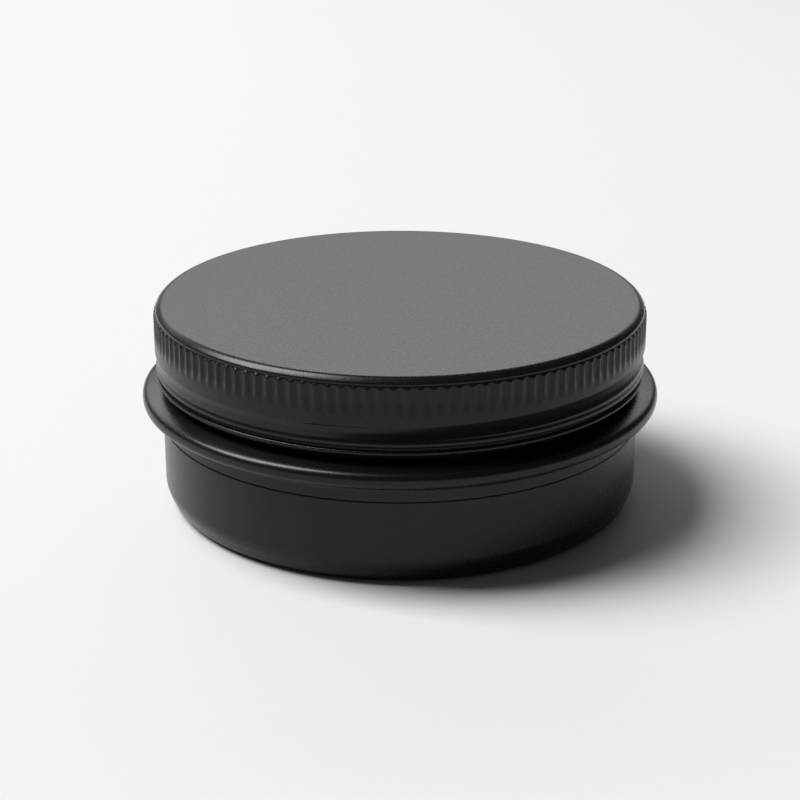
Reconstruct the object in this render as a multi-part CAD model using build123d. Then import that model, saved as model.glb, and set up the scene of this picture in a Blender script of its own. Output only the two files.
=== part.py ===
from build123d import *
import math
import os

# A screw-top aluminium candle tin, in millimetres. +Z is up, and the origin is the centre of the base on
# the surface that the tin stands on. Radii are of outer surfaces unless a name says otherwise.

# Sheet metal
SHEET = 0.3
SEAT_GAP = 0.02
LEAST_FILLET = 0.05
LEFT = 1
RIGHT = -1

# Tin body
BODY_R = 31.4
BASE_RECESS = 0.5
BASE_PANEL_R = 26.6
BASE_RIM_R = 27.2
BASE_RIM_FILLET = 0.3
BASE_EDGE_R = 30.2
BASE_EDGE_FILLET = 2.0
BASE_CORNER_Z = 2.75
BASE_CORNER_FILLET = 3.0
THROAT_R = 31.3
LEDGE_LOW_Z = 11.05
LEDGE_HIGH_Z = 11.2
LEDGE_FILLET = 0.08
FLARE_R = 32.2
FLARE_Z = 12.7
FLARE_FILLET = 0.8
FLANGE_R = 34.0
FLANGE_LOW_Z = 13.65
FLANGE_HIGH_Z = 15.6
FLANGE_NOSE_R = 0.93
NECK_R = 30.45
NECK_FOOT_Z = 16.4
NECK_FILLET = 0.6
MOUTH_CURL_R = 0.42
MOUTH_Z = 25.72

# Lid
LID_R = 32.2
LID_TOP_Z = 27.1
LID_FLAT_R = 31.25
LID_FLAT_FILLET = 0.9
LID_EDGE_R = 31.95
LID_EDGE_Z = 26.45
LID_EDGE_FILLET = 0.4
NECKING_R = 31.9
NECKING_Z = 26.15
NECKING_FILLET = 0.1
WALL_HIGH_Z = 25.8
WALL_FILLET = 0.3
RECESS_R = 31.95
RECESS_LIP_Z = 20.95
RECESS_HIGH_Z = 20.7
RECESS_LOW_Z = 19.2
RECESS_LIP_FILLET = 0.1
RECESS_FOOT_FILLET = 0.3
BEAD_R = 32.1
BEAD_HIGH_Z = 18.85
BEAD_LOW_Z = 18.5
BEAD_FILLET = 0.12
VALLEY_R = 31.65
VALLEY_Z = 18.25
LID_CURL_R = 0.4
LID_CURL_Z = 17.67

# Knurling
KNURLS = 128
KNURL_LOW_Z = 22.5
KNURL_HIGH_Z = 26.3
KNURL_DEPTH = 0.2
KNURL_PIT_SHARE = 0.76

# Rolled thread, right-handed
PITCH = 2.4
THREAD_ROLL_R = 0.75
TIN_THREAD_R = 31.25
LID_THREAD_R = 31.2
LID_THREAD_Z = 19.95
LID_THREAD_TURN = 300.0
TIN_THREAD_TURN = 330.0
THREAD_START = -113.0
RUN_OUT = 40.0
RUN_OUT_SINK = 0.35
THREAD_STEP = 12.0

# Liner
LINER_R = 31.2
LINER_GAP = 0.04
LINER_FILLET = 0.25

# Candle
WAX_Z = 17.5
WAX_DISH_R = 1100.0
WICK_R = 1.0
WICK_TOP_Z = 23.4
TAB_R = 10.0
TAB_SHEET = 0.25
COLLAR_R = 1.6
COLLAR_HEIGHT = 6.0
STICKER_R = 9.5
STICKER_THICK = 0.8
STICKER_Z = BASE_RECESS + SHEET + SEAT_GAP
TAB_Z = STICKER_Z + STICKER_THICK + SEAT_GAP
COLLAR_TOP_Z = TAB_Z + COLLAR_HEIGHT


def outline(corners):
    """The line of a turned sheet's surface: (radius, height, fillet) at each corner, from the axis outwards."""
    points = [(radius, 0, height) for radius, height, _ in corners]
    fillets = [fillet for _, _, fillet in corners[1:-1]]
    return FilletPolyline(*points, radius=fillets)


def inner_corners(corners, side, depth=SHEET):
    """The same corners at a depth inside the line. side is 1 where the inside lies left of it, or -1."""
    points = [Vector(radius, height) for radius, height, _ in corners]
    runs = [(end - start).normalized() for start, end in zip(points, points[1:])]
    normals = [Vector(-run.Y, run.X) * side for run in runs]
    normals = [normals[0]] + normals + [normals[-1]]
    moved = []
    for corner, point, before, after in zip(corners, points, normals, normals[1:]):
        place = point + (before + after) * (depth / (1 + before.dot(after)))
        bends_in = (before.X * after.Y - before.Y * after.X) * side > 0
        fillet = max(corner[2] - depth, LEAST_FILLET) if bends_in else corner[2]
        moved.append((place.X, place.Y, fillet))
    return moved


def filled(corners):
    """Everything between an outline and the axis, turned."""
    line = outline(corners)
    start = line @ 0
    end = line @ 1
    closing = Polyline((end.X, 0, end.Z), (0, 0, end.Z), (0, 0, start.Z))
    return revolve(make_face(line.edges() + closing.edges()), Axis.Z)


def turned_sheet(corners, side):
    """Sheet metal on the inner side of an outline, turned about the axis."""
    return filled(corners) - filled(inner_corners(corners, side))


def rolled_edge(radius, height, roll):
    """The curled wire edge of a sheet, turned about the axis."""
    section = Plane.XZ * Pos(radius, height) * Circle(roll)
    return revolve(section, Axis.Z)


def thread_roll(centre_r, low_z, turn, roll, sink):
    """A round roll along the thread. It sinks by a signed amount, past the sheet, over the run-out at each end."""
    steps = round(turn / THREAD_STEP)
    points = []
    for step in range(steps + 1):
        angle = turn * step / steps
        left = min(angle, turn - angle, RUN_OUT) / RUN_OUT
        radius = centre_r - sink * (1 - math.sin(left * math.pi / 2))
        around = math.radians(THREAD_START + angle)
        points.append((radius * math.cos(around), radius * math.sin(around), low_z + PITCH * angle / 360))
    path = Spline(*points)
    return sweep(Plane(origin=path @ 0, z_dir=path % 0) * Circle(roll), path=path)


def body_corners():
    return [
        (0, BASE_RECESS, 0),
        (BASE_PANEL_R, BASE_RECESS, BASE_RIM_FILLET),
        (BASE_RIM_R, 0, BASE_RIM_FILLET),
        (BASE_EDGE_R, 0, BASE_EDGE_FILLET),
        (BODY_R, BASE_CORNER_Z, BASE_CORNER_FILLET),
        (BODY_R, LEDGE_LOW_Z, LEDGE_FILLET),
        (THROAT_R, LEDGE_HIGH_Z, LEDGE_FILLET),
        (THROAT_R, FLARE_Z, FLARE_FILLET),
        (FLARE_R, FLANGE_LOW_Z, FLARE_FILLET),
        (FLANGE_R, FLANGE_LOW_Z, FLANGE_NOSE_R),
        (FLANGE_R, FLANGE_HIGH_Z, FLANGE_NOSE_R),
        (NECK_R, NECK_FOOT_Z, NECK_FILLET),
        (NECK_R, MOUTH_Z - MOUTH_CURL_R, 0),
    ]


def make_tin_body():
    tin = turned_sheet(body_corners(), LEFT)
    tin += rolled_edge(NECK_R - SHEET / 2, MOUTH_Z - MOUTH_CURL_R, MOUTH_CURL_R)
    centre_r = TIN_THREAD_R - THREAD_ROLL_R
    low_z = LID_THREAD_Z + PITCH / 2
    sink = TIN_THREAD_R - NECK_R + RUN_OUT_SINK
    crest = thread_roll(centre_r, low_z, TIN_THREAD_TURN, THREAD_ROLL_R, sink)
    hollow = thread_roll(centre_r, low_z, TIN_THREAD_TURN, THREAD_ROLL_R - SHEET, sink)
    bore = Cylinder(NECK_R - SHEET, MOUTH_Z, align=(Align.CENTER, Align.CENTER, Align.MIN))
    tin += crest - bore
    return tin - hollow


def lid_corners():
    return [
        (0, LID_TOP_Z, 0),
        (LID_FLAT_R, LID_TOP_Z, LID_FLAT_FILLET),
        (LID_EDGE_R, LID_EDGE_Z, LID_EDGE_FILLET),
        (NECKING_R, NECKING_Z, NECKING_FILLET),
        (LID_R, WALL_HIGH_Z, WALL_FILLET),
        (LID_R, RECESS_LIP_Z, RECESS_LIP_FILLET),
        (RECESS_R, RECESS_HIGH_Z, RECESS_LIP_FILLET),
        (RECESS_R, RECESS_LOW_Z, RECESS_FOOT_FILLET),
        (BEAD_R, BEAD_HIGH_Z, BEAD_FILLET),
        (BEAD_R, BEAD_LOW_Z, BEAD_FILLET),
        (VALLEY_R, VALLEY_Z, LEAST_FILLET),
        (VALLEY_R, LID_CURL_Z, 0),
    ]


def knurl_pits():
    """Shallow round-ended flutes that leave narrow ridges between them."""
    half_width = KNURL_PIT_SHARE * math.pi * LID_R / KNURLS
    roll = (half_width**2 + KNURL_DEPTH**2) / (2 * KNURL_DEPTH)
    length = KNURL_HIGH_Z - KNURL_LOW_Z - 2 * half_width
    middle = (KNURL_HIGH_Z + KNURL_LOW_Z) / 2
    pit = Cylinder(roll, length) + Pos(0, 0, length / 2) * Sphere(roll) + Pos(0, 0, -length / 2) * Sphere(roll)
    centre_r = LID_R - KNURL_DEPTH + roll
    return [Rot(0, 0, 360 * k / KNURLS) * Pos(centre_r, 0, middle) * pit for k in range(KNURLS)]


def make_lid_shell():
    lid = turned_sheet(lid_corners(), RIGHT)
    lid += rolled_edge(VALLEY_R - SHEET + LID_CURL_R, LID_CURL_Z, LID_CURL_R)
    centre_r = LID_THREAD_R + THREAD_ROLL_R
    sink = LID_THREAD_R - LID_R - RUN_OUT_SINK
    crest = thread_roll(centre_r, LID_THREAD_Z, LID_THREAD_TURN, THREAD_ROLL_R + SHEET, sink)
    hollow = thread_roll(centre_r, LID_THREAD_Z, LID_THREAD_TURN, THREAD_ROLL_R, sink)
    lid += crest & filled(lid_corners())
    lid -= hollow
    return lid - knurl_pits()


def disc(radius, low, high):
    """A round solid on the axis between two heights."""
    return Pos(0, 0, low) * Cylinder(radius, high - low, align=(Align.CENTER, Align.CENTER, Align.MIN))


def make_lid_liner():
    liner = disc(LINER_R, MOUTH_Z + LINER_GAP, LID_TOP_Z - SHEET - LINER_GAP)
    return fillet(liner.edges().filter_by(GeomType.CIRCLE), LINER_FILLET)


def make_wick_sticker():
    return disc(STICKER_R, STICKER_Z, STICKER_Z + STICKER_THICK)


def make_wick_tab():
    """A pressed disc with a collar that grips the foot of the wick."""
    tab = disc(TAB_R, TAB_Z, TAB_Z + TAB_SHEET) + disc(COLLAR_R, TAB_Z, COLLAR_TOP_Z)
    return tab - disc(WICK_R + SEAT_GAP, TAB_Z, COLLAR_TOP_Z)


def make_wick():
    return disc(WICK_R, TAB_Z + SEAT_GAP, WICK_TOP_Z)


def make_wax_fill():
    """Poured wax: it takes the shape of the tin, and leaves room for what stands in it."""
    cavity = filled(inner_corners(body_corners(), LEFT, SHEET + SEAT_GAP))
    wax = cavity & disc(FLANGE_R, 0, WAX_Z)
    wax -= Pos(0, 0, WAX_Z - SHEET + WAX_DISH_R) * Sphere(WAX_DISH_R)
    wax -= disc(STICKER_R + SEAT_GAP, 0, TAB_Z)
    wax -= disc(TAB_R + SEAT_GAP, 0, TAB_Z + TAB_SHEET + SEAT_GAP)
    wax -= disc(COLLAR_R + SEAT_GAP, 0, COLLAR_TOP_Z + SEAT_GAP)
    return wax - disc(WICK_R + SEAT_GAP, 0, MOUTH_Z)


def main():
    os.makedirs("parts", exist_ok=True)
    pieces = {
        "tin_body": make_tin_body(),
        "wick_sticker": make_wick_sticker(),
        "wick_tab": make_wick_tab(),
        "wick": make_wick(),
        "wax_fill": make_wax_fill(),
        "lid_liner": make_lid_liner(),
        "lid_shell": make_lid_shell(),
    }
    for name, piece in pieces.items():
        export_step(piece, f"parts/{name}.step")


main()
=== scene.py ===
import math

import bpy
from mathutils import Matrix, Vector, noise


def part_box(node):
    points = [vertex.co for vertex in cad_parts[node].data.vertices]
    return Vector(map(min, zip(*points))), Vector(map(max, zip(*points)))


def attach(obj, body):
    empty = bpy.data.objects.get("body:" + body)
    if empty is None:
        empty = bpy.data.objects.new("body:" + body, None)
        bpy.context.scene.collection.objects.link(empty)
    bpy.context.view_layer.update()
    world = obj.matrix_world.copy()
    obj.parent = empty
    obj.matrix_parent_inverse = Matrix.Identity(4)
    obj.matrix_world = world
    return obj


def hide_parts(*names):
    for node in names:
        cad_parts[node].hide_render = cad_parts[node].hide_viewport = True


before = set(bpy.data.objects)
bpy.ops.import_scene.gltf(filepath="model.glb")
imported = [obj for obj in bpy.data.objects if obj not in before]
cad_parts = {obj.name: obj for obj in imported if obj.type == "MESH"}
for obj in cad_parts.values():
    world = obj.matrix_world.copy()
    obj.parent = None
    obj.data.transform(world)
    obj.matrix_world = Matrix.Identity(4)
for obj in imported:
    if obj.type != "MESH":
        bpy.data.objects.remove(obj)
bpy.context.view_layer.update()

MM = 0.001
TIN_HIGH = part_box("tin_body")[1] / MM
LID_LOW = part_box("lid_shell")[0] / MM
LID_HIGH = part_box("lid_shell")[1] / MM
LINER_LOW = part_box("lid_liner")[0] / MM
LINER_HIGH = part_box("lid_liner")[1] / MM
WAX_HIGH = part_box("wax_fill")[1] / MM
WICK_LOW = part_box("wick")[0] / MM
WICK_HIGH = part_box("wick")[1] / MM

# Lengths below are in millimetres and angles in degrees, unless a name says otherwise.
SHEET = 0.3
LEAST_FILLET = 0.05
SEAT_GAP = 0.02
# A long run gets an extra point this near each end, which keeps its shading flat.
HOLD = 0.12

# Tin body
FLANGE_R = TIN_HIGH.x
MOUTH_Z = TIN_HIGH.z
BODY_R = FLANGE_R - 2.6
BASE_RECESS = 0.5
BASE_PANEL_R = FLANGE_R - 7.4
BASE_RIM_R = FLANGE_R - 6.8
BASE_RIM_FILLET = 0.3
BASE_EDGE_R = FLANGE_R - 3.8
BASE_EDGE_FILLET = 2.0
BASE_CORNER_Z = 2.75
BASE_CORNER_FILLET = 3.0
THROAT_R = FLANGE_R - 2.7
LEDGE_LOW_Z = 11.05
LEDGE_HIGH_Z = 11.2
LEDGE_FILLET = 0.08
FLARE_R = FLANGE_R - 1.8
FLARE_Z = 12.7
FLARE_FILLET = 0.8
FLANGE_LOW_Z = 13.65
FLANGE_HIGH_Z = 15.6
FLANGE_NOSE_R = 0.93
NECK_R = FLANGE_R - 3.55
NECK_FOOT_Z = 16.4
NECK_FILLET = 0.6
MOUTH_CURL_R = 0.42
MOUTH_CURL_Z = MOUTH_Z - MOUTH_CURL_R
MOUTH_CURL_START = -62
MOUTH_CURL_END = 242
MOUTH_BARE_ROWS = 5

# Lid
LID_R = LID_HIGH.x
LID_TOP_Z = LID_HIGH.z
LID_FLAT_R = LID_R - 0.95
LID_FLAT_FILLET = 0.9
LID_EDGE_R = LID_R - 0.25
LID_EDGE_Z = LID_TOP_Z - 0.65
LID_EDGE_FILLET = 0.4
NECKING_R = LID_R - 0.3
NECKING_Z = LID_TOP_Z - 0.95
NECKING_FILLET = 0.1
WALL_HIGH_Z = LID_TOP_Z - 1.3
WALL_FILLET = 0.3
INSIDE_NECKING_FILLET = 0.2
INSIDE_TOP_FILLET = 0.15
RECESS_R = LID_R - 0.25
RECESS_LIP_HIGH_Z = LID_TOP_Z - 6.05
RECESS_LIP_LOW_Z = LID_TOP_Z - 7.05
BEAD_R = LID_R - 0.1
BEAD_Z = LID_TOP_Z - 8.45
BEAD_LOW_Z = BEAD_Z - 0.1
BEAD_FILLET = 0.12
VALLEY_R = LID_R - 0.55
VALLEY_Z = LID_TOP_Z - 8.85
VALLEY_FILLET = 0.05
VALLEY_DEPTH = 0.3
LID_CURL_R = 0.4
LID_CURL_Z = LID_LOW.z + LID_CURL_R
LID_CURL_END = -160
LID_BARE_ROWS = 3
CREVICE_ANGLE = 35
CREVICE_Z = LID_CURL_Z + LID_CURL_R * math.sin(math.radians(CREVICE_ANGLE))

# Knurling
KNURLS = 128
KNURL_HIGH_Z = LID_TOP_Z - 0.7
KNURL_LOW_Z = LID_TOP_Z - 4.75
KNURL_DEPTH = 0.28
KNURL_PIT_SHARE = 0.8
KNURL_TOP_END = 0.5
KNURL_FOOT_END = 1.7
KNURL_ROWS_HIGH = (0.4, 0.9)
KNURL_ROWS_LOW = (1.0, 0.85, 0.6, 0.35, 0.15, 0.03)
KNURL_COLUMNS = (0, 0.11, 0.26, 0.5, 0.74, 0.89)

# Rolled thread
PITCH = 2.4
THREAD_START = -113.0
RUN_OUT = 40.0
LID_THREAD_Z = LID_TOP_Z - 7.05
LID_THREAD_TURN = 300.0
LID_THREAD_R = LID_R - 0.9
LID_THREAD_HALF = 0.95
THREAD_PLAY = 0.1
TIN_THREAD_Z = LID_THREAD_Z + PITCH / 2 + THREAD_PLAY
TIN_THREAD_TURN = 330.0
TIN_THREAD_R = NECK_R + 0.8
TIN_THREAD_HALF = 0.8
BAND_FOOT = 0.2
BAND_HEAD = 0.75

# Mesh density
TIN_COLUMNS = 384
ROUND_COLUMNS = 192
TIN_GAP = 3
LID_GAP = 9
LINER_GAP = 1.2
WAX_GAP = 0.8
COARSE_TURN = 20
COARSER_TURN = 25
COARSEST_TURN = 30

# Bands that carry the thread, with their count of rows
NECK_LOW_Z = NECK_FOOT_Z + 1.2
NECK_HIGH_Z = MOUTH_CURL_Z - 0.45
NECK_ROWS = 30
SKIRT_LOW_Z = BEAD_Z + 0.3
SKIRT_HIGH_Z = KNURL_LOW_Z - 0.05
SKIRT_ROWS = 30
INSIDE_ROWS = 15
THREAD_ROOM = 0.1
SKIRT_FOOT_LOW_Z = SKIRT_LOW_Z - 0.1
SKIRT_FOOT_HIGH_Z = SKIRT_LOW_Z + 0.35
INSIDE_FOOT_Z = SKIRT_LOW_Z - 0.15

# Liner
LINER_TOP_FILLET = 0.25
LINER_LOW_FILLET = 0.3
PRESS_DEPTH = 0.14
PRESS_HALF = 0.45
LINER_PLAIN = 0.1
LINER_WAVE = 0.02
LINER_WAVE_LENGTH = 9

# Wax and wick
CREEP = 0.55
CREEP_REACH = 0.9
WICK_CREEP = 0.5
WICK_CREEP_REACH = 0.8
WAX_SINK = 0.6
WAX_WALL_HIGH_Z = WAX_HIGH.z - 0.2
WAX_WAVE = 0.09
WAX_WAVE_LENGTH = 11
WICK_HOLE_R = WICK_HIGH.x + 0.03
STRAND_R = 0.3
LAY_R = 0.58
LAY_TURNS = 7
LAY_POINTS = 12
WEAVE = 0.13


# ---------------------------------------------------------------- outlines

def run_fillet(before, corner, after, fillet, turn_step):
    """Points of the arc that rounds a corner between two straight runs."""
    enter = (corner - before).normalized()
    leave = (after - corner).normalized()
    turn = enter.angle_signed(leave, 0)
    if abs(turn) < 0.02 or fillet < 0.001:
        return [corner]
    cut = fillet * math.tan(abs(turn) / 2)
    side = -math.copysign(1, turn)
    normal = Vector((-enter.y, enter.x)) * side
    centre = corner - enter * cut + normal * fillet
    steps = max(2, math.ceil(math.degrees(abs(turn)) / turn_step))
    arc = []
    for step in range(steps + 1):
        angle = abs(turn) * step / steps
        out = -normal * math.cos(angle) + enter * math.sin(angle)
        arc.append(centre + out * fillet)
    return arc


def rounded(corners, turn_step=12):
    """The points of an outline given as (radius, height, fillet) at each corner."""
    points = [Vector((radius, height)) for radius, height, _ in corners]
    line = [points[0]]
    for index in range(1, len(points) - 1):
        around = points[index - 1], points[index], points[index + 1]
        line += run_fillet(*around, corners[index][2], turn_step)
    return line + [points[-1]]


def inner_corners(corners, depth=SHEET):
    """The same corners at a depth to the left of the line, which is the inside of the tin's outline."""
    points = [Vector((radius, height)) for radius, height, _ in corners]
    runs = [(end - start).normalized() for start, end in zip(points, points[1:])]
    normals = [Vector((-run.y, run.x)) for run in runs]
    normals = [normals[0]] + normals + [normals[-1]]
    moved = []
    for corner, point, before, after in zip(corners, points, normals, normals[1:]):
        place = point + (before + after) * (depth / (1 + before.dot(after)))
        bends_in = before.x * after.y > before.y * after.x
        fillet = max(corner[2] - depth, LEAST_FILLET) if bends_in else corner[2]
        moved.append((place.x, place.y, fillet))
    return moved


def spaced(line, gap):
    """The line with points added: none further apart than the gap, and one near each end of a long run."""
    filled = [line[0]]
    for start, end in zip(line, line[1:]):
        length = (end - start).length
        steps = max(1, math.ceil(length / gap))
        shares = [step / steps for step in range(1, steps + 1)]
        if length > 6 * HOLD:
            shares += [HOLD / length, 1 - HOLD / length]
        filled += [start.lerp(end, share) for share in sorted(shares)]
    return filled


def arc(centre_r, centre_z, radius, start, end, step=15):
    """Points round part of a circle, angles counted from outwards through up."""
    count = max(2, math.ceil(abs(end - start) / step))
    angles = [math.radians(start + (end - start) * k / count) for k in range(count + 1)]
    return [Vector((centre_r + radius * math.cos(a), centre_z + radius * math.sin(a))) for a in angles]


def smooth_step(low, high, value):
    t = min(1, max(0, (value - low) / (high - low)))
    return t * t * (3 - 2 * t)


# ---------------------------------------------------------------- turned meshes

def turned(name, line, angles, shape, slots):
    """A mesh turned about the axis. shape(radius, height, angle, row) moves each point.

    The line starts and ends on the axis. slots gives each row's material."""
    verts = [(0, 0, line[0].y * MM)]
    for row, point in enumerate(line[1:-1], 1):
        for angle in angles:
            radius, height = shape(point.x, point.y, angle, row)
            around = math.radians(angle)
            verts.append((radius * math.cos(around) * MM, radius * math.sin(around) * MM, height * MM))
    verts.append((0, 0, line[-1].y * MM))
    count = len(angles)
    rows = len(line) - 2
    faces = []
    marks = []
    for k in range(count):
        after = (k + 1) % count
        faces.append((0, 1 + k, 1 + after))
        marks.append(slots(0))
        for row in range(rows - 1):
            low = 1 + row * count
            high = low + count
            faces.append((low + k, high + k, high + after, low + after))
            marks.append(slots(row + 1))
        last = 1 + (rows - 1) * count
        faces.append((last + k, len(verts) - 1, last + after))
        marks.append(slots(rows))
    mesh = bpy.data.meshes.new(name)
    mesh.from_pydata(verts, [], faces)
    mesh.polygons.foreach_set("material_index", marks)
    mesh.polygons.foreach_set("use_smooth", [True] * len(faces))
    mesh.update()
    face_outwards(mesh)
    piece = bpy.data.objects.new(name, mesh)
    bpy.context.scene.collection.objects.link(piece)
    return piece


def face_outwards(mesh):
    """Turns the faces of a closed mesh so that its volume is positive."""
    volume = 0
    for face in mesh.polygons:
        corners = [mesh.vertices[v].co for v in face.vertices]
        for second, third in zip(corners[1:], corners[2:]):
            volume += corners[0].dot(second.cross(third))
    if volume < 0:
        mesh.flip_normals()


def even_angles(count):
    return [360 * k / count for k in range(count)]


# ---------------------------------------------------------------- thread and knurl

def thread_centre(angle, low_z, turn, high_z):
    """Height of the thread's middle at an angle, and how far in it is from 0 at its ends to 1."""
    along = (angle - THREAD_START) % 360
    if along <= turn:
        height = low_z + PITCH * along / 360
        left = min(along, turn - along, RUN_OUT) / RUN_OUT
        return min(height, high_z), math.sin(left * math.pi / 2)
    back = (along - turn) / (360 - turn)
    top = min(low_z + PITCH * turn / 360, high_z)
    return top + (low_z - top) * smooth_step(0, 1, back), 0


def soft_groove(t):
    """Depth across a rolled groove, from 0 at its lips, t of -1 and 1, to 1 at its floor."""
    return max(0, 1 - t * t) ** 0.6


def sharp_groove(t):
    """Depth across the lid's groove: it slopes in slowly from its foot, t of -1, to a crisp upper lip."""
    return math.sin(max(0, t + 1) * math.pi / 4) * smooth_step(1, 0.75, t)


def band_height(share, low, high, centre, half):
    """Height of a row in a band whose rows crowd round the thread: share 0 is low, 1 is high."""
    if share < BAND_FOOT:
        return low + (centre - half - low) * share / BAND_FOOT
    if share > BAND_HEAD:
        return high - (high - centre - half) * (1 - share) / (1 - BAND_HEAD)
    across = (share - BAND_FOOT) / (BAND_HEAD - BAND_FOOT) - 0.5
    return centre + half * math.sin(across * math.pi)


def knurl_depth(angle, height):
    """Shallow flutes with soft ends, side by side, with narrow ridges between them."""
    across = ((angle * KNURLS / 360 + 0.5) % 1 - 0.5) / (KNURL_PIT_SHARE / 2)
    head = smooth_step(KNURL_HIGH_Z, KNURL_HIGH_Z - KNURL_TOP_END, height)
    foot = min(1, max(0, (height - KNURL_LOW_Z) / KNURL_FOOT_END))
    return KNURL_DEPTH * max(0, 1 - across * across) ** 0.9 * head * foot


# ---------------------------------------------------------------- tin body

def body_corners():
    return [
        (0, BASE_RECESS, 0),
        (BASE_PANEL_R, BASE_RECESS, BASE_RIM_FILLET),
        (BASE_RIM_R, 0, BASE_RIM_FILLET),
        (BASE_EDGE_R, 0, BASE_EDGE_FILLET),
        (BODY_R, BASE_CORNER_Z, BASE_CORNER_FILLET),
        (BODY_R, LEDGE_LOW_Z, LEDGE_FILLET),
        (THROAT_R, LEDGE_HIGH_Z, LEDGE_FILLET),
        (THROAT_R, FLARE_Z, FLARE_FILLET),
        (FLARE_R, FLANGE_LOW_Z, FLARE_FILLET),
        (FLANGE_R, FLANGE_LOW_Z, FLANGE_NOSE_R),
        (FLANGE_R, FLANGE_HIGH_Z, FLANGE_NOSE_R),
        (NECK_R, NECK_FOOT_Z, NECK_FILLET),
        (NECK_R, NECK_LOW_Z, 0),
    ]


def neck_height(share, angle):
    centre, _ = thread_centre(angle, TIN_THREAD_Z, TIN_THREAD_TURN, NECK_HIGH_Z - TIN_THREAD_HALF)
    return band_height(share, NECK_LOW_Z, NECK_HIGH_Z, centre, TIN_THREAD_HALF)


def neck_bulge(height, angle):
    centre, share = thread_centre(angle, TIN_THREAD_Z, TIN_THREAD_TURN, NECK_HIGH_Z - TIN_THREAD_HALF)
    return (TIN_THREAD_R - NECK_R) * share * soft_groove((height - centre) / TIN_THREAD_HALF)


def make_tin():
    low = spaced(rounded(body_corners()), TIN_GAP)
    band = [Vector((NECK_R, k / NECK_ROWS)) for k in range(1, NECK_ROWS)]
    curl_r = NECK_R - SHEET / 2
    curl = arc(curl_r, MOUTH_CURL_Z, MOUTH_CURL_R, MOUTH_CURL_START, MOUTH_CURL_END)
    inside_low = spaced(rounded(inner_corners(body_corners())), TIN_GAP)
    inside_band = [Vector((NECK_R - SHEET, k / NECK_ROWS)) for k in range(NECK_ROWS - 1, 0, -1)]
    neck_top = [Vector((NECK_R, NECK_HIGH_Z))]
    inside_top = [Vector((NECK_R - SHEET, NECK_HIGH_Z))]
    line = low + band + neck_top + curl + inside_top + inside_band + inside_low[::-1]
    outer_band = range(len(low), len(low) + len(band))
    inner_start = len(low) + len(band) + 1 + len(curl) + 1
    inner_band = range(inner_start, inner_start + len(inside_band))
    bare_from = inner_start - MOUTH_BARE_ROWS

    def shape(radius, height, angle, row):
        if row in outer_band or row in inner_band:
            height = neck_height(height, angle)
            radius += neck_bulge(height, angle)
        return radius, height

    angles = even_angles(TIN_COLUMNS)
    return turned("tin_drawn_body", line, angles, shape, lambda row: int(row >= bare_from))


# ---------------------------------------------------------------- lid

def lid_top_corners():
    return [
        (0, LID_TOP_Z, 0),
        (LID_FLAT_R, LID_TOP_Z, LID_FLAT_FILLET),
        (LID_EDGE_R, LID_EDGE_Z, LID_EDGE_FILLET),
        (NECKING_R, NECKING_Z, NECKING_FILLET),
        ((NECKING_R + LID_R) / 2, (NECKING_Z + WALL_HIGH_Z) / 2, 0),
        (LID_R, WALL_HIGH_Z, WALL_FILLET),
        (LID_R, WALL_HIGH_Z - 0.2, 0),
    ]


def skirt_radius(height):
    """The skirt's plain outer radius between the knurl and the bead: a shallow recess under a crisp lip."""
    upper = smooth_step(RECESS_LIP_HIGH_Z, RECESS_LIP_LOW_Z, height)
    lower = smooth_step(SKIRT_FOOT_HIGH_Z, SKIRT_FOOT_LOW_Z, height)
    return LID_R - (LID_R - RECESS_R) * upper + (BEAD_R - RECESS_R) * lower


def skirt_point(share, angle, inset):
    top = SKIRT_HIGH_Z - LID_THREAD_HALF - THREAD_ROOM
    centre, sink = thread_centre(angle, LID_THREAD_Z, LID_THREAD_TURN, top)
    height = band_height(share, SKIRT_LOW_Z, SKIRT_HIGH_Z, centre, LID_THREAD_HALF)
    groove = sink * sharp_groove((height - centre) / LID_THREAD_HALF)
    plain = skirt_radius(height)
    return plain - (plain - LID_THREAD_R) * groove - inset, height


def knurl_angles():
    """Column angles, closer together beside each ridge."""
    return [360 * (k + 0.5 + share) / KNURLS for k in range(KNURLS) for share in KNURL_COLUMNS]


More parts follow.
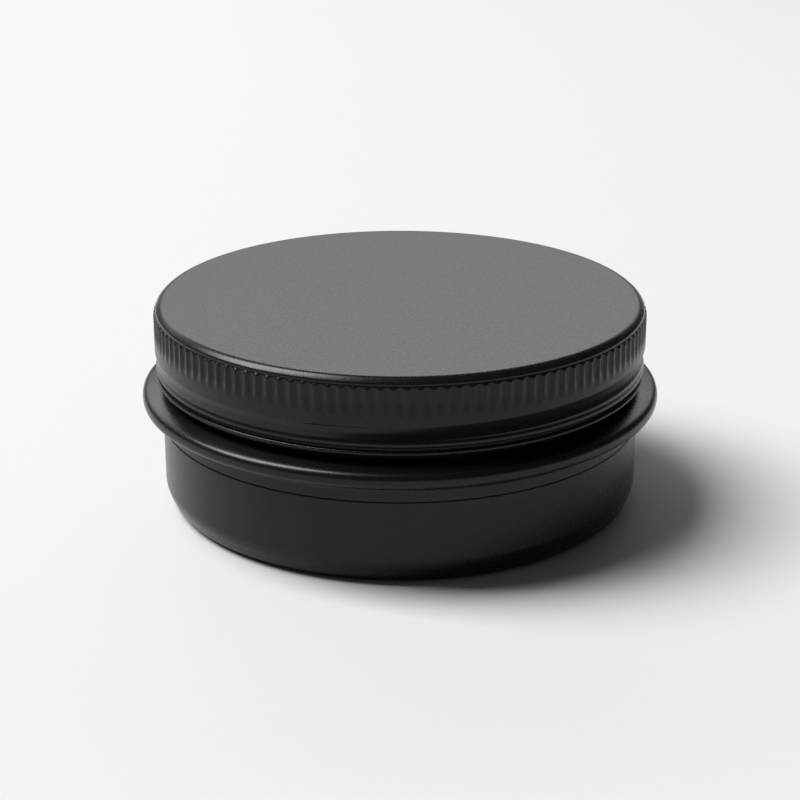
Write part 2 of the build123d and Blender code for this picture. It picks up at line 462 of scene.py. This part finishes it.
def make_lid():
    top = spaced(rounded(lid_top_corners()), LID_GAP)
    knurl_z = [WALL_HIGH_Z - below for below in KNURL_ROWS_HIGH]
    knurl_z += [KNURL_LOW_Z + KNURL_FOOT_END * share for share in KNURL_ROWS_LOW]
    knurl = [Vector((LID_R, height)) for height in knurl_z]
    skirt = [Vector((0, 1 - k / SKIRT_ROWS)) for k in range(SKIRT_ROWS + 1)]
    bead = rounded([
        (BEAD_R, SKIRT_FOOT_LOW_Z, 0),
        (BEAD_R, BEAD_LOW_Z, BEAD_FILLET),
        (VALLEY_R, VALLEY_Z, VALLEY_FILLET),
        (VALLEY_R, CREVICE_Z, VALLEY_FILLET),
        (VALLEY_R + VALLEY_DEPTH, CREVICE_Z, 0),
    ], COARSEST_TURN)
    inner_r = VALLEY_R - SHEET
    curl_r = inner_r + LID_CURL_R
    curl = arc(curl_r, LID_CURL_Z, LID_CURL_R, CREVICE_ANGLE, LID_CURL_END)
    inside_foot = [Vector((inner_r, VALLEY_Z)), Vector((BEAD_R - SHEET, INSIDE_FOOT_Z))]
    inside_skirt = [Vector((SHEET, k / INSIDE_ROWS)) for k in range(INSIDE_ROWS + 1)]
    inside_knurl = [Vector((LID_R - SHEET, height)) for height in reversed(knurl_z[::2])]
    inside_top = rounded([
        (LID_R - SHEET, WALL_HIGH_Z - 0.1, 0),
        (NECKING_R - SHEET, NECKING_Z, INSIDE_NECKING_FILLET),
        (LID_EDGE_R - SHEET, LID_EDGE_Z - SHEET / 2, INSIDE_TOP_FILLET),
        (LID_FLAT_R - SHEET / 2, LID_TOP_Z - SHEET, INSIDE_TOP_FILLET),
        (0, LID_TOP_Z - SHEET, 0),
    ], COARSER_TURN)
    parts = [top, knurl, skirt, bead, curl, inside_foot, inside_skirt, inside_knurl, inside_top]
    line = [point for part in parts for point in part]
    kinds = [k for k, part in enumerate(parts) for _ in part]

    def shape(radius, height, angle, row):
        part = parts[kinds[row]]
        if part is skirt or part is inside_skirt:
            return skirt_point(height, angle, radius)
        if part is top or part is knurl:
            return min(radius, LID_R - knurl_depth(angle, height)), height
        if part is inside_knurl:
            return radius - knurl_depth(angle, height), height
        return radius, height

    bare_from = sum(len(part) for part in (top, knurl, skirt, bead, curl)) - LID_BARE_ROWS
    return turned("lid_drawn_shell", line, knurl_angles(), shape, lambda row: int(row >= bare_from))


# ---------------------------------------------------------------- liner, wax and wick

def make_liner():
    """A foam disc with soft edges and a faint ring where the tin's mouth presses it."""
    radius = LINER_HIGH.x
    low = LINER_LOW.z
    high = LINER_HIGH.z
    press_r = NECK_R - SHEET / 2
    corners = [(0, high, 0), (radius, high, LINER_TOP_FILLET), (radius, low, LINER_LOW_FILLET), (0, low, 0)]
    line = spaced(rounded(corners, COARSE_TURN), LINER_GAP)

    def shape(r, z, angle, row):
        if z < (low + high) / 2:
            z += PRESS_DEPTH * math.exp(-(((r - press_r) / PRESS_HALF) ** 2))
        around = math.radians(angle)
        spot = Vector((math.cos(around) * r, math.sin(around) * r, z)) / LINER_WAVE_LENGTH
        wave = LINER_WAVE if z < high - LINER_PLAIN else 0
        return r, z + wave * noise.noise(spot)

    return turned("foam_liner", line, even_angles(ROUND_COLUMNS), shape, lambda row: 0)


def make_wax():
    """Poured wax. It creeps up the wall and the wick, and sinks a little between them as it sets."""
    cavity = inner_corners(body_corners(), SHEET + SEAT_GAP)
    wall = [point for point in rounded(cavity) if point.y < WAX_WALL_HIGH_Z]
    wall_r = NECK_R - SHEET - SEAT_GAP
    surface = spaced([Vector((wall_r, WAX_HIGH.z)), Vector((WICK_HOLE_R, WAX_HIGH.z))], WAX_GAP)
    line = wall + surface + [Vector((0, WAX_HIGH.z))]
    first_top = len(wall)

    def shape(r, z, angle, row):
        if row < first_top:
            return r, z
        creep = CREEP * math.exp(-(wall_r - r) / CREEP_REACH)
        creep += WICK_CREEP * math.exp(-(r - WICK_HOLE_R) / WICK_CREEP_REACH)
        around = math.radians(angle)
        spot = Vector((math.cos(around) * r, math.sin(around) * r, 0)) / WAX_WAVE_LENGTH
        return r, z - WAX_SINK + creep + WAX_WAVE * noise.noise(spot)

    return turned("poured_wax", line, even_angles(ROUND_COLUMNS), shape, lambda row: 0)


def strand_curve(name, hand, phase):
    """One strand of the braid: a helix that weaves over and under the strands of the other hand."""
    curve = bpy.data.curves.new(name, "CURVE")
    curve.dimensions = "3D"
    curve.bevel_depth = STRAND_R * MM
    curve.bevel_resolution = 3
    curve.use_fill_caps = True
    spline = curve.splines.new("NURBS")
    count = LAY_POINTS * LAY_TURNS
    low = WICK_LOW.z + STRAND_R
    high = WICK_HIGH.z - 0.1
    spline.points.add(count)
    for k in range(count + 1):
        share = k / count
        angle = hand * 2 * math.pi * LAY_TURNS * share + phase
        weave = WEAVE * hand * math.cos(4 * angle - hand * phase)
        radius = (LAY_R + weave) * MM
        height = (low + (high - low) * share) * MM
        spline.points[k].co = (radius * math.cos(angle), radius * math.sin(angle), height, 1)
    spline.order_u = 4
    spline.use_endpoint_u = True
    return bpy.data.objects.new(name, curve)


def make_wick():
    """Six strands braided round the axis, as one mesh."""
    strands = []
    for hand in (1, -1):
        for k in range(3):
            strand = strand_curve(f"strand_{hand}_{k}", hand, 2 * math.pi * k / 3)
            bpy.context.scene.collection.objects.link(strand)
            strands.append(strand)
    bpy.context.view_layer.update()
    verts = []
    faces = []
    for strand in strands:
        mesh = bpy.data.meshes.new_from_object(strand)
        offset = len(verts)
        verts += [tuple(v.co) for v in mesh.vertices]
        faces += [tuple(offset + v for v in face.vertices) for face in mesh.polygons]
        bpy.data.objects.remove(strand)
    mesh = bpy.data.meshes.new("braided_wick")
    mesh.from_pydata(verts, [], faces)
    mesh.polygons.foreach_set("use_smooth", [True] * len(faces))
    piece = bpy.data.objects.new("braided_wick", mesh)
    bpy.context.scene.collection.objects.link(piece)
    return piece


# ---------------------------------------------------------------- materials

class Nodes:
    """Short calls for building one material's nodes."""

    def __init__(self, name):
        self.material = bpy.data.materials.new(name)
        self.material.use_nodes = True
        self.tree = self.material.node_tree
        self.shader = self.tree.nodes["Principled BSDF"]

    def add(self, kind, **settings):
        node = self.tree.nodes.new("ShaderNode" + kind)
        for key, value in settings.items():
            setattr(node, key, value)
        return node

    def link(self, start, end):
        self.tree.links.new(start, end)

    def place(self):
        return self.add("TexCoord").outputs["Object"]

    def noise(self, place, scale, detail=3.0, roughness=0.5):
        node = self.add("TexNoise")
        node.inputs["Scale"].default_value = scale
        node.inputs["Detail"].default_value = detail
        node.inputs["Roughness"].default_value = roughness
        self.link(place, node.inputs["Vector"])
        return node.outputs["Fac"]

    def stretched(self, place, scale):
        node = self.add("Mapping")
        node.inputs["Scale"].default_value = scale
        self.link(place, node.inputs["Vector"])
        return node.outputs["Vector"]

    def span(self, value, low, high, from_low=0.0, from_high=1.0):
        node = self.add("MapRange")
        node.inputs["From Min"].default_value = from_low
        node.inputs["From Max"].default_value = from_high
        node.inputs["To Min"].default_value = low
        node.inputs["To Max"].default_value = high
        self.link(value, node.inputs["Value"])
        return node.outputs["Result"]

    def colour(self, share, first, second):
        """Mixes two colours into the shader's base colour."""
        node = self.add("Mix", data_type="RGBA")
        node.inputs["A"].default_value = (*first, 1)
        node.inputs["B"].default_value = (*second, 1)
        self.link(share, node.inputs["Factor"])
        self.link(node.outputs["Result"], self.shader.inputs["Base Color"])

    def bump(self, height, distance, strength=1.0, normal=None):
        node = self.add("Bump")
        node.inputs["Distance"].default_value = distance
        node.inputs["Strength"].default_value = strength
        self.link(height, node.inputs["Height"])
        if normal is not None:
            self.link(normal, node.inputs["Normal"])
        return node.outputs["Normal"]

    def set(self, **values):
        for key, value in values.items():
            self.shader.inputs[key.replace("_", " ")].default_value = value


def black_lacquer():
    n = Nodes("black_lacquer")
    place = n.place()
    cloud = n.noise(place, 90, 2)
    grain = n.noise(place, 3200, 2, 0.7)
    n.colour(n.span(cloud, 0, 1, 0.35, 0.65), (0.0048, 0.0052, 0.0054), (0.0062, 0.0065, 0.0067))
    n.link(n.span(grain, 0.25, 0.32, 0.3, 0.7), n.shader.inputs["Roughness"])
    n.link(n.bump(grain, 0.000015, 0.5), n.shader.inputs["Normal"])
    n.set(IOR=1.35)
    return n.material


def bare_aluminium():
    n = Nodes("bare_aluminium")
    place = n.place()
    drawn = n.noise(n.stretched(place, (1, 1, 0.04)), 2600, 3)
    soft = n.noise(place, 220, 2)
    n.colour(n.span(soft, 0, 1, 0.3, 0.7), (0.72, 0.73, 0.74), (0.82, 0.83, 0.83))
    n.link(n.span(drawn, 0.22, 0.4, 0.3, 0.7), n.shader.inputs["Roughness"])
    n.link(n.bump(drawn, 0.00001, 0.5), n.shader.inputs["Normal"])
    n.set(Metallic=1.0)
    return n.material


def liner_foam():
    n = Nodes("liner_foam")
    place = n.place()
    cells = n.add("TexVoronoi", feature="F1")
    cells.inputs["Scale"].default_value = 2400
    n.link(place, cells.inputs["Vector"])
    n.colour(cells.outputs["Distance"], (0.80, 0.80, 0.78), (0.90, 0.90, 0.89))
    n.link(n.bump(cells.outputs["Distance"], 0.00006, 0.5), n.shader.inputs["Normal"])
    n.set(Roughness=0.62, Sheen_Weight=0.1)
    return n.material


def wax():
    n = Nodes("wax")
    place = n.place()
    frost = n.noise(place, 260, 4, 0.6)
    fine = n.noise(place, 3000, 2)
    n.colour(n.span(frost, 0, 1, 0.35, 0.7), (0.86, 0.79, 0.62), (0.93, 0.88, 0.76))
    n.link(n.span(frost, 0.38, 0.55, 0.3, 0.7), n.shader.inputs["Roughness"])
    n.link(n.bump(fine, 0.00002, 0.4, n.bump(frost, 0.0001, 0.4)), n.shader.inputs["Normal"])
    n.set(Subsurface_Weight=0.35, Subsurface_Scale=0.003)
    return n.material


def wick_cotton():
    n = Nodes("wick_cotton")
    place = n.place()
    fibre = n.noise(n.stretched(place, (1, 1, 0.2)), 9000, 3)
    n.colour(fibre, (0.72, 0.66, 0.52), (0.92, 0.89, 0.80))
    n.link(n.bump(fibre, 0.00006, 0.7), n.shader.inputs["Normal"])
    n.set(Roughness=0.7, Sheen_Weight=0.3)
    return n.material


def tab_steel():
    n = Nodes("tab_steel")
    place = n.place()
    grain = n.noise(n.stretched(place, (0.08, 1, 1)), 3000, 3)
    n.link(n.span(grain, 0.25, 0.42), n.shader.inputs["Roughness"])
    n.colour(grain, (0.56, 0.56, 0.57), (0.72, 0.72, 0.72))
    n.link(n.bump(grain, 0.00001, 0.5), n.shader.inputs["Normal"])
    n.set(Metallic=1.0)
    return n.material


def sticker_foam():
    n = Nodes("sticker_foam")
    place = n.place()
    cells = n.noise(place, 2600, 3)
    n.colour(cells, (0.76, 0.76, 0.74), (0.88, 0.88, 0.86))
    n.link(n.bump(cells, 0.00005, 0.5), n.shader.inputs["Normal"])
    n.set(Roughness=0.75)
    return n.material


def floor_paper():
    n = Nodes("floor_paper")
    place = n.place()
    fibres = n.noise(place, 700, 3)
    n.colour(fibres, (0.735, 0.73, 0.72), (0.755, 0.75, 0.74))
    n.set(Roughness=0.85, Specular_IOR_Level=0.2)
    return n.material


def paint(piece, *materials):
    piece.data.materials.clear()
    for material in materials:
        piece.data.materials.append(material)


def paint_node(name, material):
    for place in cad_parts[name].material_slots:
        place.link = "OBJECT"
        place.material = material


# ---------------------------------------------------------------- stage

def make_soft_box():
    """One large soft box, high on the left. Places and sizes are in metres."""
    place = Vector((-1.6, 0.28, 2.45))
    middle = Vector((0, 0, 0.015))
    light = bpy.data.lights.new("left_soft_box", "AREA")
    light.shape = "RECTANGLE"
    light.size = 1.45
    light.size_y = 1.9
    light.energy = 122
    lamp = bpy.data.objects.new("left_soft_box", light)
    lamp.location = place
    lamp.rotation_euler = (middle - place).to_track_quat("-Z", "Y").to_euler()
    bpy.context.scene.collection.objects.link(lamp)


def make_floor():
    """A square of pale paper, with its half width in metres."""
    half = 1.8
    mesh = bpy.data.meshes.new("studio_floor")
    corners = [(-half, -half, 0), (half, -half, 0), (half, half, 0), (-half, half, 0)]
    mesh.from_pydata(corners, [], [(0, 1, 2, 3)])
    floor = bpy.data.objects.new("studio_floor", mesh)
    bpy.context.scene.collection.objects.link(floor)
    paint(floor, floor_paper())


class Sky:
    """Short calls for building the world's nodes. Every value is worked out from the world's directions."""

    def __init__(self, tree):
        self.tree = tree
        self.direction = tree.nodes.new("ShaderNodeTexCoord").outputs["Generated"]
        parts = tree.nodes.new("ShaderNodeSeparateXYZ")
        tree.links.new(self.direction, parts.inputs[0])
        self.height = parts.outputs["Z"]

    def ramp(self, value, start, end, low, high):
        node = self.tree.nodes.new("ShaderNodeMapRange")
        node.interpolation_type = "SMOOTHSTEP"
        ranges = {"From Min": start, "From Max": end, "To Min": low, "To Max": high}
        for name, number in ranges.items():
            node.inputs[name].default_value = number
        self.tree.links.new(value, node.inputs["Value"])
        return node.outputs["Result"]

    def towards(self, centre, start, end, strength):
        """Light round one direction: none where the cosine from it is start, full where it is end."""
        node = self.tree.nodes.new("ShaderNodeVectorMath")
        node.operation = "DOT_PRODUCT"
        node.inputs[1].default_value = Vector(centre).normalized()
        self.tree.links.new(self.direction, node.inputs[0])
        return self.ramp(node.outputs["Value"], start, end, 0, strength)

    def combined(self, operation, first, second):
        node = self.tree.nodes.new("ShaderNodeMath")
        node.operation = operation
        for socket, value in zip(node.inputs, (first, second)):
            if isinstance(value, float):
                socket.default_value = value
            else:
                self.tree.links.new(value, socket)
        return node.outputs[0]


def make_world():
    """A pale backdrop behind the tin that is brightest halfway up, in a room that is dark elsewhere."""
    world = bpy.data.worlds.new("studio")
    bpy.context.scene.world = world
    world.use_nodes = True
    tree = world.node_tree
    sky = Sky(tree)
    back = sky.towards((-0.15, 1, 0), 0.6, 0.92, 1.0)
    rise = sky.ramp(sky.height, 0.18, 0.44, 0.05, 3.15)
    top = sky.ramp(sky.height, 0.45, 0.58, 1, 0)
    backdrop = sky.combined("MULTIPLY", sky.combined("MULTIPLY", back, rise), top)
    level = sky.combined("ADD", backdrop, 0.06)
    rays = tree.nodes.new("ShaderNodeLightPath")
    seen = tree.nodes.new("ShaderNodeMix")
    seen.inputs["B"].default_value = 0.85
    tree.links.new(rays.outputs["Is Camera Ray"], seen.inputs["Factor"])
    tree.links.new(level, seen.inputs["A"])
    emitter = tree.nodes["Background"]
    tree.links.new(seen.outputs["Result"], emitter.inputs["Strength"])
    emitter.inputs["Color"].default_value = (1.0, 0.995, 0.985, 1)


def make_camera():
    """The tin seen from a little above, with a long lens. Places are in metres."""
    elevation = math.radians(20.6)
    distance = 0.273
    middle = Vector((0, 0, 0.0125))
    data = bpy.data.cameras.new("camera")
    data.sensor_width = 36
    data.lens = 92
    data.clip_start = 0.01
    camera = bpy.data.objects.new("camera", data)
    camera.location = middle + Vector((0, -math.cos(elevation), math.sin(elevation))) * distance
    camera.rotation_euler = (middle - camera.location).to_track_quat("-Z", "Y").to_euler()
    bpy.context.scene.collection.objects.link(camera)
    bpy.context.scene.camera = camera


# ---------------------------------------------------------------- the scene

def add_piece(piece, body, node, slot, *materials):
    paint(piece, *materials)
    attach(piece, body)
    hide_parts(node)
    return piece


def main():
    lacquer = black_lacquer()
    bare = bare_aluminium()
    add_piece(make_tin(), "tin", "tin_body", "black_lacquer", lacquer, bare)
    add_piece(make_lid(), "lid", "lid_shell", "black_lacquer", lacquer, bare)
    liner = add_piece(make_liner(), "liner", "lid_liner", "liner_foam", liner_foam())
    add_piece(make_wax(), "tin", "wax_fill", "wax", wax())
    add_piece(make_wick(), "tin", "wick", "wick_cotton", wick_cotton())
    paint_node("wick_tab", tab_steel())
    paint_node("wick_sticker", sticker_foam())
    make_floor()
    make_world()
    make_soft_box()
    make_camera()
    bpy.context.scene.view_settings.view_transform = "Standard"


main()
